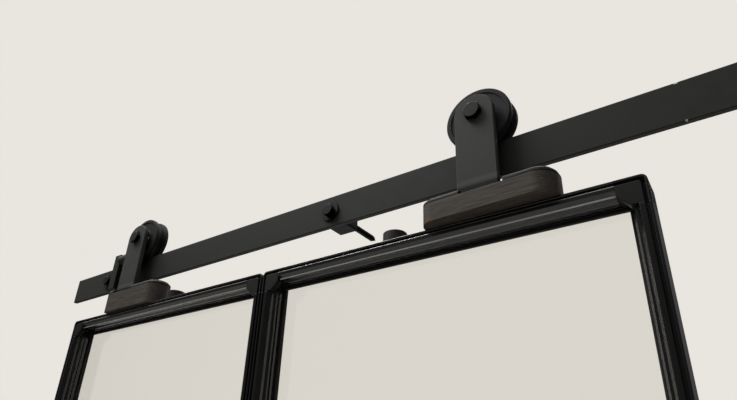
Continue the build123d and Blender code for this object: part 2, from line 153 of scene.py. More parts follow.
room_light, room_mirrored, wall_seen = 0.23, 0.1, 1.0
world = bpy.data.worlds.new("soft_room")
bpy.context.scene.world = world
world.use_nodes = True
sky = world.node_tree
sky.nodes.clear()
ray = add(sky, "ShaderNodeLightPath")
seen = add(sky, "ShaderNodeMath",
           {0: ray.outputs["Is Camera Ray"], 1: ray.outputs["Is Transmission Ray"]}, operation="MAXIMUM")
light = add(sky, "ShaderNodeBackground", {"Color": linear("#ffffff"), "Strength": room_light})
mirrored = add(sky, "ShaderNodeBackground", {"Color": linear("#ffffff"), "Strength": room_mirrored})
backdrop = add(sky, "ShaderNodeBackground", {"Color": linear("#e9e5df"), "Strength": wall_seen})
unseen = add(sky, "ShaderNodeMixShader",
             {0: ray.outputs["Is Glossy Ray"], 1: light.outputs[0], 2: mirrored.outputs[0]})
either = add(sky, "ShaderNodeMixShader",
             {0: seen.outputs[0], 1: unseen.outputs[0], 2: backdrop.outputs[0]})
add(sky, "ShaderNodeOutputWorld", {"Surface": either.outputs[0]})
print("Floor at", round(floor_z, 3), "m")

# %% [markdown]
# Black parts show their shape by what they reflect. A lamp above on the left lights the faces and
# leaves the right-hand sides dark, as a window on that side does, and a wide one overhead stands
# for a pale ceiling. Three bright cards are seen only in reflections: they draw the thin bright
# lines on rounded edges and leave flat faces dark. A bright room all round would grey them all.

# %% lamps
lit_point = Vector((-0.5, 0.0, 0.0))


def soft_lamp(name, place, size, watts, lights_matt_surfaces=True):
    """Square area lamp that faces the middle of the door's top edge."""
    data = bpy.data.lights.new(name, "AREA")
    data.size = size
    data.energy = watts
    lamp = bpy.data.objects.new(name, data)
    bpy.context.scene.collection.objects.link(lamp)
    lamp.location = place
    lamp.rotation_euler = (lit_point - lamp.location).to_track_quat("-Z", "Y").to_euler()
    lamp.visible_camera = False
    lamp.visible_transmission = False
    lamp.visible_diffuse = lights_matt_surfaces


soft_lamp("window_lamp", (-2.4, -1.3, 3.4), 2.0, 230)
soft_lamp("ceiling_lamp", (-0.5, -1.2, 2.4), 3.0, 42)
soft_lamp("card_above", (-0.6, 1.1, 1.9), 2.4, 70, lights_matt_surfaces=False)
soft_lamp("card_behind", (-1.1, 1.6, -1.2), 2.6, 25, lights_matt_surfaces=False)
soft_lamp("card_on_the_left", (-3.05, -0.45, 1.5), 1.2, 7, lights_matt_surfaces=False)

# %% [markdown]
# Every finish starts the same way: a Principled shader, the object's own coordinates, in which the
# texture sizes are real ones, and a Bevel node. No real edge is as sharp as a computed one, and
# that node bends the light at an edge as a small rounding does, without a change to the mesh.
# A finish that dresses a whole slot of the record is kept under the slot's name.

# %% start of a finish
def new_finish(name, edge_radius, **constants):
    """Material with its shader, coordinates in metres and a normal that is rounded at edges."""
    made = bpy.data.materials.new(name)
    made.use_nodes = True
    tree = made.node_tree
    shader = tree.nodes["Principled BSDF"]
    for socket, value in constants.items():
        shader.inputs[socket.replace("_", " ").title().replace("Ior", "IOR")].default_value = value
    place = add(tree, "ShaderNodeTexCoord").outputs["Object"]
    rounded = add(tree, "ShaderNodeBevel", {"Radius": edge_radius * mm}, samples=6).outputs[0]
    return made, tree, shader, place, rounded


def wire(tree, shader, outputs):
    """Links outputs to the shader's sockets of these names."""
    for socket, output in outputs.items():
        tree.links.new(output, shader.inputs[socket])


finishes = {}

# %% [markdown]
# The track, straps, stops and spacers are mild steel with a black powder coat. The powder melts
# into a skin with a fine orange peel, so the face is matt and its shine wanders a little. The
# peel could be sculpted, but it is a tenth of a millimetre deep, so a bump is enough. Where parts
# stand close together, the coat is painted darker as shade. Each kind of part has its own two
# tones: the straps are the greyest, then the track; the stops and the spacers are darker still,
# as painted shade for the shade they lie in.

# %% powder-coated steel
corner_shade_reach = 25


def powder_coat(name, dark, pale):
    """Matt powder coat between two tones, painted darker as shade where parts stand close, with its shader
    and colour for later additions.
    """
    coated, tree, shader, place, rounded = new_finish(name, 0.6, specular_ior_level=0.1)
    patches = add(tree, "ShaderNodeTexNoise", {"Vector": place, "Scale": features_of(14), "Detail": 7.0,
                                               "Roughness": 0.6})
    coat = add(tree, "ShaderNodeMix", {0: patches.outputs[0], 6: linear(dark), 7: linear(pale)},
               data_type="RGBA")
    # Painted shade: an ambient occlusion node darkens the coat towards near black where parts stand close
    # together.
    painted_shade_openness = add(tree, "ShaderNodeAmbientOcclusion", {"Distance": corner_shade_reach * mm}, samples=8)
    tone = add(tree, "ShaderNodeMix", {0: painted_shade_openness.outputs["AO"], 6: linear("#0a0a09"),
                                       7: coat.outputs[2]}, data_type="RGBA")
    shine = add(tree, "ShaderNodeMapRange", {"Value": patches.outputs[0], "To Min": 0.55, "To Max": 0.8})
    peel = add(tree, "ShaderNodeTexNoise", {"Vector": place, "Scale": features_of(1.4), "Detail": 3.0})
    skin = add(tree, "ShaderNodeBump", {"Height": peel.outputs[0], "Strength": 0.5, "Distance": 0.1 * mm,
                                        "Normal": rounded})
    wire(tree, shader, {"Base Color": tone.outputs[2], "Roughness": shine.outputs[0],
                        "Normal": skin.outputs[0]})
    return coated, tree, shader, place, tone.outputs[2]


# Painted shade: the stops and the spacers get darker tones for the shade they lie in.
stop_finish = powder_coat("powder_coated_stop", "#181a18", "#242622")[0]
spacer_finish = powder_coat("powder_coated_spacer", "#111211", "#1a1b19")[0]
print("Made", stop_finish.name, "and", spacer_finish.name)

# %% [markdown]
# Each strap is bent back at its foot. The bend catches the light, and a paler band of colour at
# its height is a painted highlight. Below it, in the block's recess, the coat is painted nearly
# black as shade. The height alone decides, so a soft step and a soft band of height are mixed
# over the coat. An image would do the same, but it would have to be painted.

# %% straps with a painted highlight at the bend and painted shade below it
bend_height, bend_reach, bend_highlight_strength = -28.5, 4.5, 0.55
shade_top, shade_bottom = -32.0, -34.0
strap_coat, tree, shader, place, coat_with_painted_shade = powder_coat("powder_coated_strap", "#292a27", "#3b3c38")
height = add(tree, "ShaderNodeSeparateXYZ", {0: place}).outputs["Z"]
above_bend = add(tree, "ShaderNodeMath", {0: height, 1: bend_height * mm}, operation="SUBTRACT")
from_bend = add(tree, "ShaderNodeMath", {0: above_bend.outputs[0]}, operation="ABSOLUTE")
# Painted highlight: a paler band round the height of the bend.
on_bend = add(tree, "ShaderNodeMapRange", {"Value": from_bend.outputs[0], "From Min": 0.0,
                                           "From Max": bend_reach * mm, "To Min": bend_highlight_strength,
                                           "To Max": 0.0})
bent = add(tree, "ShaderNodeMix", {0: on_bend.outputs[0], 6: coat_with_painted_shade, 7: linear("#4c4d48")},
           data_type="RGBA")
# Painted shade: below this height the strap is drawn nearly black, as shade in the block's recess.
above_shade = add(tree, "ShaderNodeMapRange", {"Value": height, "From Min": shade_bottom * mm,
                                         "From Max": shade_top * mm})
with_painted_shade = add(tree, "ShaderNodeMix", {0: above_shade.outputs[0], 6: linear("#0b0b0a"), 7: bent.outputs[2]},
            data_type="RGBA")
wire(tree, shader, {"Base Color": with_painted_shade.outputs[2]})
print("Made", strap_coat.name)

# %% [markdown]
# On the track the coat is chipped in two places on its edges, and something pale shows there. A
# chip could be a cut in the mesh. It is thinner than a hair, so a spot of colour with a ragged
# outline does: the distance from the chip's middle, roughened by a noise, decides what is bare.

# %% chipped coat on the track
chips = [((-93, -36, 20), 2.2), ((-92, -36, -20), 1.2)]
raggedness = 3
chipped, tree, shader, place, coat_with_painted_shade = powder_coat("powder_coated_track", "#1c1d1b", "#2b2c29")
ragged = add(tree, "ShaderNodeTexNoise", {"Vector": place, "Scale": features_of(1.6), "Detail": 3.0})
wander = add(tree, "ShaderNodeMath", {0: ragged.outputs[0], 1: raggedness * mm}, operation="MULTIPLY")
bare = None
for centre, radius in chips:
    away = add(tree, "ShaderNodeVectorMath", {0: place, 1: Vector(centre) * mm}, operation="DISTANCE")
    uneven = add(tree, "ShaderNodeMath", {0: away.outputs["Value"], 1: wander.outputs[0]}, operation="ADD")
    spot = add(tree, "ShaderNodeMath", {0: uneven.outputs[0], 1: (radius + raggedness / 2) * mm},
               operation="LESS_THAN")
    if bare:
        spot = add(tree, "ShaderNodeMath", {0: spot.outputs[0], 1: bare.outputs[0]}, operation="MAXIMUM")
    bare = spot
with_chips = add(tree, "ShaderNodeMix", {0: bare.outputs[0], 6: coat_with_painted_shade, 7: linear("#aaa69c")},
                 data_type="RGBA")
wire(tree, shader, {"Base Color": with_chips.outputs[2]})
print("Made", chipped.name, "with", len(chips), "chips")

# %% [markdown]
# Bolts, nuts, washers and screws are steel with a black oxide. It is a thin layer, so what shows
# is a dark metal: metallic is 1 and the colour is deep. Handling leaves paler blotches.

# %% black oxide fasteners
oxide, tree, shader, place, rounded = new_finish("black_oxide_steel", 0.3, metallic=1.0)
blotches = add(tree, "ShaderNodeTexNoise", {"Vector": place, "Scale": features_of(5), "Detail": 6.0})
tone = add(tree, "ShaderNodeMix", {0: blotches.outputs[0], 6: linear("#0b0b0a"), 7: linear("#181716")},
           data_type="RGBA")
shine = add(tree, "ShaderNodeMapRange", {"Value": blotches.outputs[0], "To Min": 0.45, "To Max": 0.7})
pits = add(tree, "ShaderNodeTexNoise", {"Vector": place, "Scale": features_of(0.6), "Detail": 2.0})
skin = add(tree, "ShaderNodeBump", {"Height": pits.outputs[0], "Strength": 0.5, "Distance": 0.05 * mm,
                                    "Normal": rounded})
wire(tree, shader, {"Base Color": tone.outputs[2], "Roughness": shine.outputs[0],
                    "Normal": skin.outputs[0]})
finishes["black_fastener"] = oxide
print("Made", oxide.name)

# %% [markdown]
# The wheels are turned from steel and then blackened, and the tool leaves fine rings round the
# axle. A ring pattern needs to know where the axle is, so each wheel has a finish of its own: the
# distance from the axle, plus the depth, drives a one-dimensional noise. The real grooves are
# about 0.2 mm apart and are drawn at 0.7 mm, because finer ones would not show in the picture.

# %% turned finishes
def turned_finish(name, axle, dark, pale, metallic, gloss, roughest):
    """Finish with tool rings round an axle that runs along Y."""
    made, tree, shader, place, rounded = new_finish(name, 0.5, metallic=metallic, specular_ior_level=gloss)
    from_axle = add(tree, "ShaderNodeVectorMath", {0: place, 1: axle}, operation="SUBTRACT")
    flat = add(tree, "ShaderNodeVectorMath", {0: from_axle.outputs[0], 1: (1, 0, 1)}, operation="MULTIPLY")
    radius = add(tree, "ShaderNodeVectorMath", {0: flat.outputs[0]}, operation="LENGTH")
    depth = add(tree, "ShaderNodeVectorMath", {0: from_axle.outputs[0], 1: (0, 1, 0)},
                operation="DOT_PRODUCT")
    along_tool = add(tree, "ShaderNodeMath", {0: radius.outputs["Value"], 1: depth.outputs["Value"]},
                     operation="ADD")
    rings = add(tree, "ShaderNodeTexNoise", {"W": along_tool.outputs[0], "Scale": features_of(0.7),
                                             "Detail": 3.0}, noise_dimensions="1D")
    stains = add(tree, "ShaderNodeTexNoise", {"Vector": place, "Scale": features_of(12), "Detail": 4.0})
    tone = add(tree, "ShaderNodeMix", {0: stains.outputs[0], 6: linear(dark), 7: linear(pale)},
               data_type="RGBA")
    shine = add(tree, "ShaderNodeMapRange", {"Value": rings.outputs[0], "To Min": roughest - 0.2,
                                             "To Max": roughest})
    grooves = add(tree, "ShaderNodeBump", {"Height": rings.outputs[0], "Strength": 0.6,
                                           "Distance": 0.1 * mm, "Normal": rounded})
    wire(tree, shader, {"Base Color": tone.outputs[2], "Roughness": shine.outputs[0],
                        "Normal": grooves.outputs[0]})
    return made


axles = {joint["child"].removesuffix("_wheel"): Vector(joint["pos_m"])
         for joint in frame["record"]["behaviour"]["joints"] if joint["type"] == "hinge"}
wheel_finish = {side: turned_finish("blackened_wheel_" + side, axle, "#0f0f0e", "#171615", 0.0, 0.1, 0.75)
                for side, axle in axles.items()}
bright_finish = {side: turned_finish("bright_turned_steel_" + side, axle, "#8f8f90", "#a9a9ab", 1.0,
                                     0.5, 0.5)
                 for side, axle in axles.items()}
print("Axles at", {side: tuple(round(v, 4) for v in axle) for side, axle in axles.items()})

# %% [markdown]
# The frame bars are extruded aluminium with a satin black coat. The die leaves straight lines
# along each bar, so the pattern is stretched a thousandfold along it. The coat is smooth and dark.
# Two places of the rails catch the light of a room as thin pale lines: the outer edge of the
# front face and the crest of the ridge. These are painted highlights: the coat is drawn paler
# there, because a plain studio has nothing to mirror in them. Where the lines lie is counted from
# the bar's outer edge, so each bar has its own finish. Strips laid on top would leave the CAD's section.

# %% satin coated aluminium with painted highlight lines
deepest_highlight_line = 4.2
painted_highlight_lines = [(4.65, 5.35, "#7b7a73"), (11.7, 13.1, "#b4b3ac")]


def extruded_finish(bar, inward):
    """Satin coat on a bar whose outer edge faces against the inward direction, with painted highlight lines
    on the rails.
    """
    made, tree, shader, place, rounded = new_finish("satin_coated_" + bar, 0.5)
    inward = Vector(inward)
    lowest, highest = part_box(bar)
    outer_edge = Vector(lowest) if sum(inward) > 0 else Vector(highest)
    along = Vector((1, 1, 0.001)) if inward.x else Vector((0.001, 1, 1))
    along_bar = add(tree, "ShaderNodeMapping", {"Vector": place, "Scale": along})
    lines = add(tree, "ShaderNodeTexNoise", {"Vector": along_bar.outputs[0], "Scale": features_of(0.8),
                                             "Detail": 2.0})
    clouds = add(tree, "ShaderNodeTexNoise", {"Vector": place, "Scale": features_of(40), "Detail": 4.0})
    coat = add(tree, "ShaderNodeMix", {0: clouds.outputs[0], 6: linear("#0b0b0a"), 7: linear("#131312")},
               data_type="RGBA")
    from_edge = add(tree, "ShaderNodeVectorMath", {0: place, 1: outer_edge}, operation="SUBTRACT")
    offset = add(tree, "ShaderNodeVectorMath", {0: from_edge.outputs[0], 1: inward},
                 operation="DOT_PRODUCT")
    depth = add(tree, "ShaderNodeSeparateXYZ", {0: place}).outputs["Y"]
    in_front = add(tree, "ShaderNodeMath", {0: depth, 1: lowest.y + deepest_highlight_line * mm},
                   operation="LESS_THAN")
    coloured = coat.outputs[2]
    # Painted highlights: pale lines on the rails where a room's light would be mirrored.
    rail_highlight_lines = painted_highlight_lines if inward.z else []
    for start, end, colour in rail_highlight_lines:
        from_middle = add(tree, "ShaderNodeMath", {0: offset.outputs["Value"], 1: (start + end) / 2 * mm},
                          operation="SUBTRACT")
        away = add(tree, "ShaderNodeMath", {0: from_middle.outputs[0]}, operation="ABSOLUTE")
        inside = add(tree, "ShaderNodeMath", {0: away.outputs[0], 1: (end - start) / 2 * mm},
                     operation="LESS_THAN")
        on_highlight_line = add(tree, "ShaderNodeMath", {0: inside.outputs[0], 1: in_front.outputs[0]},
                      operation="MULTIPLY")
        coloured = add(tree, "ShaderNodeMix", {0: on_highlight_line.outputs[0], 6: coloured, 7: linear(colour)},
                       data_type="RGBA").outputs[2]
    shine = add(tree, "ShaderNodeMapRange", {"Value": lines.outputs[0], "To Min": 0.17, "To Max": 0.23})
    skin = add(tree, "ShaderNodeBump", {"Height": lines.outputs[0], "Strength": 0.1,
                                        "Distance": 0.01 * mm, "Normal": rounded})
    wire(tree, shader, {"Base Color": coloured, "Roughness": shine.outputs[0],
                        "Normal": skin.outputs[0]})
    return made


inward_of = {"top_rail": (0, 0, -1), "bottom_rail": (0, 0, 1), "left_stile": (1, 0, 0),
             "right_stile": (-1, 0, 0)}
bar_finish = {panel + "_panel_" + bar: extruded_finish(panel + "_panel_" + bar, inward)
              for panel in ("left", "right") for bar, inward in inward_of.items()}
print("Made finishes for", len(bar_finish), "bars")

# %% [markdown]
# The corner pieces are moulded ABS. The mould's wall is spark-eroded, which leaves a fine even
# grain, so they look duller than the bars they join. The grain is 0.3 mm and is drawn at 0.6 mm.

# %% moulded corner plastic
moulded, tree, shader, place, rounded = new_finish("moulded_abs", 0.8, roughness=0.5,
                                                   specular_ior_level=0.1)
grain = add(tree, "ShaderNodeTexVoronoi", {"Vector": place, "Scale": features_of(0.6)})
clouds = add(tree, "ShaderNodeTexNoise", {"Vector": place, "Scale": features_of(15), "Detail": 3.0})
tone = add(tree, "ShaderNodeMix", {0: clouds.outputs[0], 6: linear("#111110"), 7: linear("#191817")},
           data_type="RGBA")
skin = add(tree, "ShaderNodeBump", {"Height": grain.outputs["Distance"], "Strength": 0.4,
                                    "Distance": 0.05 * mm, "Normal": rounded})
wire(tree, shader, {"Base Color": tone.outputs[2], "Normal": skin.outputs[0]})
finishes["corner_plastic"] = moulded
print("Made", moulded.name)

# %% [markdown]
# The panes are clear float glass, 4 mm thick, and real solids, so light bends at both faces and
# the edge looks deeper than the face. A thin film of dust is all that a clean pane shows: a noise
# makes the surface a trace rougher here and there. A flat sheet would have no edge. The edges lie
# hidden in the gasket, so the rounded normal stays unlinked.

# %% float glass
glass, tree, shader, place, _ = new_finish("clear_float_glass", 0.3, ior=1.52, transmission_weight=1.0,
                                           base_color=linear("#f2f2ee"))
film = add(tree, "ShaderNodeTexNoise", {"Vector": place, "Scale": features_of(90), "Detail": 5.0})
haze = add(tree, "ShaderNodeMapRange", {"Value": film.outputs[0], "From Min": 0.45, "From Max": 0.8,
                                        "To Min": 0.0, "To Max": 0.03})
wire(tree, shader, {"Roughness": haze.outputs[0]})
finishes["clear_glass"] = glass
print("Made", glass.name)

# %% [markdown]
# Two rubbers look different. The glazing gasket is extruded, smooth and a little greasy. The
# buffers are moulded and dull, and carry a grey bloom. Both are a dark colour with a high
# roughness, and the noise under it differs in size.

# %% rubbers
def rubber_finish(name, dark, pale, grain_size, smoothest):
    """Black rubber with a bloom in patches."""
    made, tree, shader, place, rounded = new_finish(name, 0.4, specular_ior_level=0.3)
    bloom = add(tree, "ShaderNodeTexNoise", {"Vector": place, "Scale": features_of(grain_size * 10),
                                             "Detail": 5.0})
    grain = add(tree, "ShaderNodeTexNoise", {"Vector": place, "Scale": features_of(grain_size),
                                             "Detail": 2.0})
    tone = add(tree, "ShaderNodeMix", {0: bloom.outputs[0], 6: linear(dark), 7: linear(pale)},
               data_type="RGBA")
    shine = add(tree, "ShaderNodeMapRange", {"Value": bloom.outputs[0], "To Min": smoothest,
                                             "To Max": smoothest + 0.25})
    skin = add(tree, "ShaderNodeBump", {"Height": grain.outputs[0], "Strength": 0.4, "Distance": 0.05 * mm,
                                        "Normal": rounded})
    wire(tree, shader, {"Base Color": tone.outputs[2], "Roughness": shine.outputs[0],
                        "Normal": skin.outputs[0]})
    return made


finishes["gasket_rubber"] = rubber_finish("extruded_glazing_rubber", "#121211", "#1d1d1c", 0.5, 0.45)
finishes["bumper_rubber"] = rubber_finish("moulded_buffer_rubber", "#161514", "#262422", 0.8, 0.65)
print("Made", finishes["gasket_rubber"].name, "and", finishes["bumper_rubber"].name)

# %% [markdown]
# The blocks under the hanger feet are hardwood with a dark stain. Wood fibres run along the
# block, so the grain is a noise stretched along X, and a second, wider one gives the bands of
# early and late wood. The stain sits deeper in the open grain. Each block is glued up from two
# layers, and the seam under the thin, greyer top layer shows as a dark line. The bevelled rim on
# top drank most of the stain. One lower corner of the right block is worn to the brown wood. A
# wave texture could give the bands, but it looks too regular.

# %% stained hardwood
worn_corners = [((-309, -72, -69), 4.0), ((-297, -76, -70), 2.0)]
corner_raggedness = 6
top_layer, rim_from_seam = 5.5, 2.4
seam_start, seam_end = 0.5, 1.0


def wood_finish(name, seam_height):
    """Stained wood whose top layer ends at this height in millimetres."""
    made, tree, shader, place, rounded = new_finish(name, 0.8, specular_ior_level=0.15)
    along_fibres = add(tree, "ShaderNodeMapping", {"Vector": place, "Scale": (0.07, 1, 1)})
    fibres = add(tree, "ShaderNodeTexNoise", {"Vector": along_fibres.outputs[0], "Scale": features_of(1.8),
                                              "Detail": 6.0, "Roughness": 0.65})
    bands = add(tree, "ShaderNodeTexNoise", {"Vector": along_fibres.outputs[0], "Scale": features_of(9),
                                             "Detail": 3.0})
    stain = add(tree, "ShaderNodeMix", {0: bands.outputs[0], 6: linear("#39342d"), 7: linear("#47403a")},
                data_type="RGBA")
    height = add(tree, "ShaderNodeSeparateXYZ", {0: place}).outputs["Z"]
    above = add(tree, "ShaderNodeMath", {0: height, 1: seam_height * mm}, operation="SUBTRACT")
    on_top_layer = add(tree, "ShaderNodeMath", {0: above.outputs[0], 1: 0.0}, operation="GREATER_THAN")
    layered = add(tree, "ShaderNodeMix", {0: on_top_layer.outputs[0], 6: stain.outputs[2],
                                          7: linear("#34332f")}, data_type="RGBA")
    on_rim = add(tree, "ShaderNodeMath", {0: above.outputs[0], 1: rim_from_seam * mm},
                 operation="GREATER_THAN")
    rimmed = add(tree, "ShaderNodeMix", {0: on_rim.outputs[0], 6: layered.outputs[2],
                                         7: linear("#191816")}, data_type="RGBA")
    open_grain = add(tree, "ShaderNodeMapRange", {"Value": fibres.outputs[0], "From Min": 0.35,
                                                  "From Max": 0.6})
    grained = add(tree, "ShaderNodeMix", {0: open_grain.outputs[0], 6: linear("#2b2723"),
                                          7: rimmed.outputs[2]}, data_type="RGBA")
    worn_wood = grained.outputs[2]
    for centre, radius in worn_corners:
        away = add(tree, "ShaderNodeVectorMath", {0: place, 1: Vector(centre) * mm}, operation="DISTANCE")
        wander = add(tree, "ShaderNodeMath", {0: fibres.outputs[0], 1: corner_raggedness * mm},
                     operation="MULTIPLY")
        uneven = add(tree, "ShaderNodeMath", {0: away.outputs["Value"], 1: wander.outputs[0]},
                     operation="ADD")
        spot = add(tree, "ShaderNodeMath", {0: uneven.outputs[0], 1: (radius + corner_raggedness / 2) * mm},
                   operation="LESS_THAN")
        worn_wood = add(tree, "ShaderNodeMix", {0: spot.outputs[0], 6: worn_wood, 7: linear("#4a3524")},
                        data_type="RGBA").outputs[2]
    from_seam = add(tree, "ShaderNodeMath", {0: above.outputs[0]}, operation="ABSOLUTE")
    seam = add(tree, "ShaderNodeMapRange", {"Value": from_seam.outputs[0], "From Min": seam_start * mm,
                                            "From Max": seam_end * mm})
    seamed = add(tree, "ShaderNodeMix", {0: seam.outputs[0], 6: linear("#0d0c0b"), 7: worn_wood},
                 data_type="RGBA")
    relief_height = add(tree, "ShaderNodeMath", {0: fibres.outputs[0], 1: seam.outputs[0]}, operation="ADD")
    shine = add(tree, "ShaderNodeMapRange", {"Value": fibres.outputs[0], "To Min": 0.8, "To Max": 0.55})
    relief = add(tree, "ShaderNodeBump", {"Height": relief_height.outputs[0], "Strength": 0.6,
                                          "Distance": 0.25 * mm, "Normal": rounded})
    wire(tree, shader, {"Base Color": seamed.outputs[2], "Roughness": shine.outputs[0],
                        "Normal": relief.outputs[0]})
    return made


wood_of = {side: wood_finish("stained_hardwood_" + side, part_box("block_" + side)[1].z / mm - top_layer)
           for side in ("left", "right")}
print("Made", [made.name for made in wood_of.values()])

# %% [markdown]
# The lift discs are moulded nylon. It takes up a little moisture and goes brownish and dull, and
# its skin is even, so soft clouds of tone and a faint grain are enough.

# %% moulded nylon
nylon, tree, shader, place, rounded = new_finish("moulded_nylon", 0.6, specular_ior_level=0.1)
clouds = add(tree, "ShaderNodeTexNoise", {"Vector": place, "Scale": features_of(8), "Detail": 4.0})
tone = add(tree, "ShaderNodeMix", {0: clouds.outputs[0], 6: linear("#252220"), 7: linear("#302d29")},
           data_type="RGBA")
shine = add(tree, "ShaderNodeMapRange", {"Value": clouds.outputs[0], "To Min": 0.45, "To Max": 0.65})
grain = add(tree, "ShaderNodeTexNoise", {"Vector": place, "Scale": features_of(0.7), "Detail": 2.0})
skin = add(tree, "ShaderNodeBump", {"Height": grain.outputs[0], "Strength": 0.3, "Distance": 0.05 * mm,
                                    "Normal": rounded})
wire(tree, shader, {"Base Color": tone.outputs[2], "Roughness": shine.outputs[0],
                    "Normal": skin.outputs[0]})
finishes["disc_plastic"] = nylon
print("Made", nylon.name)

# %% [markdown]
# The shapes of the CAD nodes are right, so they stay and only change their dress. The record says
# which slot each node takes. Within their slots some need a finish of their own: the track with its
# chips, the straps, stops and spacers, the bars by their direction, the blocks by their height, and
# what turns on an axle.

# %% dress the CAD nodes
slot_of = {entry["node"]: entry["material_slot"] for entry in frame["record"]["subparts"]}
steel_finish = {"track_bar": chipped, "strap": strap_coat, "stop_bar": stop_finish,
                "standoff": spacer_finish}


def finish_of(node):
    """Finish that a CAD node takes."""
    for kind, finish in steel_finish.items():
        if node.startswith(kind):
            return finish
    side = node.rsplit("_", 1)[-1]
    slot = slot_of[node]
    if slot == "frame_aluminium":
        return bar_finish[node]
    if slot == "wheel_metal":
        return wheel_finish[side]
    if slot == "bare_steel":
        return bright_finish[side]
    if slot == "stained_wood":
        return wood_of[side]
    return finishes[slot]


for name, node_object in frame["nodes"].items():
    for material_slot in node_object.material_slots:
        material_slot.material = finish_of(name)
print(len(slot_of), "nodes dressed")

# %% [markdown]
# Screws and bolts are bodies of revolution with a few hexagons in them. Each is described by its
# rings from one end to the other: how far along it lies, its radius, and the distance across
# flats where it is a hexagon. A hexagon that is cut at a radius has the rounded crown of a real
# bolt head, and one that goes back inside is a socket. Cutting with booleans would do it too, but
# it leaves untidy meshes. The crown of a bolt head is a cone of 30 degrees that starts just inside
# its flats.

# %% solids of rings
sides_of_hexagon = 6
weld_distance = 0.002 * mm
sharp_from = math.radians(20)
crown_slope = math.tan(math.radians(30))
edge_break = 0.3
corner_of_socket = 0.625
turn_to = {"room": Matrix.Rotation(math.radians(90), 4, "X"),
           "wall": Matrix.Rotation(math.radians(-90), 4, "X"),
           "up": Matrix.Identity(4)}


def standing(way, point, flats_turn=30.0):
    """Frame in millimetres whose Z axis points into the room, into the wall or up."""
    return (Matrix.Translation(point) @ turn_to[way] @ Matrix.Rotation(math.radians(flats_turn), 4, "Z")
            @ Matrix.Scale(mm, 4))


def add_rings(mesh, place, rings, around=48):
    """Adds a solid round local Z of rings (height, radius, across flats) whose ends are points."""
    rows = []
    sector = 2 * math.pi / sides_of_hexagon
    for height, radius, flats in rings:
        row = []
        for k in range(around):
            angle = 2 * math.pi * k / around
            reach = radius
            if flats:
                from_flat = (angle + sector / 2) % sector - sector / 2
                reach = min(radius, flats / 2 / math.cos(from_flat))
            point = Vector((reach * math.cos(angle), reach * math.sin(angle), height))
            row.append(mesh.verts.new(place @ point))
        rows.append(row)
    for lower, upper in zip(rows, rows[1:]):
        for k in range(around):
            after = (k + 1) % around
            mesh.faces.new((lower[k], lower[after], upper[after], upper[k]))


def bolt_head_rings(under, height, flats, corner, mid_cone, seat, face):
    """Rings of a hexagon head, from its seat to its top face. The cone has one ring between them."""
    top = under + height

    def on_cone(radius):
        """Height of the cone at this radius, to a hundredth of a millimetre."""
        return round(top - (radius - face) * crown_slope, 2)

    return [(under, seat, 0), (under + edge_break, corner, flats), (on_cone(corner), corner, flats),
            (on_cone(mid_cone), mid_cone, flats), (on_cone(flats / 2), flats / 2, 0), (top, face, 0),
            (top, 0, 0)]


def socket_rings(top, flats, depth):
    """Rings of a hexagon socket that ends a screw at its top face."""
    corner = flats * corner_of_socket
    return [(top, corner, flats), (top - depth, corner, flats), (top - depth, 0, 0)]


def make_piece(name, mesh, finish, body, replaced):
    """Object from a bmesh: welded, smooth but for its sharp edges, and tied to the frame."""
    bmesh.ops.remove_doubles(mesh, verts=mesh.verts, dist=weld_distance)
    bmesh.ops.dissolve_degenerate(mesh, edges=mesh.edges, dist=weld_distance)
    bmesh.ops.recalc_face_normals(mesh, faces=mesh.faces)
    for face in mesh.faces:
        face.smooth = True
    for edge in mesh.edges:
        edge.smooth = len(edge.link_faces) == 2 and edge.calc_face_angle() < sharp_from
    data = bpy.data.meshes.new(name)
    mesh.to_mesh(data)
    mesh.free()
    data.materials.append(finish)
    piece = bpy.data.objects.new(name, data)
    bpy.context.scene.collection.objects.link(piece)
    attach(piece, body)
    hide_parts(replaced)
    print(name, "has", len(data.polygons), "faces")


# %% [markdown]
# A thread is one ridge that climbs by its pitch in every turn. The rows of this mesh climb with
# it: a row ends one pitch higher than it began and joins the row that started there, so the ridge
# runs true and never breaks up, which a pattern on a straight cylinder would do. The screw
# modifier makes threads too, but its ends would still have to be tapered by hand.

# %% threads
def add_thread(mesh, place, root, crest, pitch, start, end, tip=0.0, around=24):
    """Adds a thread round local Z from start to end, with a point of the length of the tip."""
    profile = [(0.0, 0.0), (0.3, 0.0), (0.45, 1.0), (0.55, 1.0), (0.7, 0.0)]
    top = end + tip
    turns = math.ceil((top - start) / pitch) + 1
    rows = []
    for turn in range(-1, turns + 1):
        for share, rise in profile:
            row = []
            for k in range(around):
                climbed = start + (turn + share + k / around) * pitch
                height = min(max(climbed, start), top)
                taper = min(1.0, (top - height) / tip) if tip else 1.0
                run_out = min(1.0, (height - start) / pitch)
                radius = (root + (crest - root) * rise * run_out) * taper
                if climbed <= start or climbed >= top:
                    radius = 0.0
                angle = 2 * math.pi * k / around
                point = Vector((radius * math.cos(angle), radius * math.sin(angle), height))
                row.append(mesh.verts.new(place @ point))
            rows.append(row)
    for i, lower in enumerate(rows[:-1]):
        upper = rows[i + 1]
        for k in range(around - 1):
            mesh.faces.new((lower[k], lower[k + 1], upper[k + 1], upper[k]))
        joined = i + len(profile)
        if joined + 1 < len(rows):
            mesh.faces.new((lower[-1], rows[joined][0], rows[joined + 1][0], upper[-1]))


# %% [markdown]
# The track hangs from five coach screws: a hexagon head, a plain neck through the spacer, and a
# coarse wood thread with a point. The head and the thread are separate closed shells that overlap
# inside the neck, as is usual for hidden joints in a visual model.

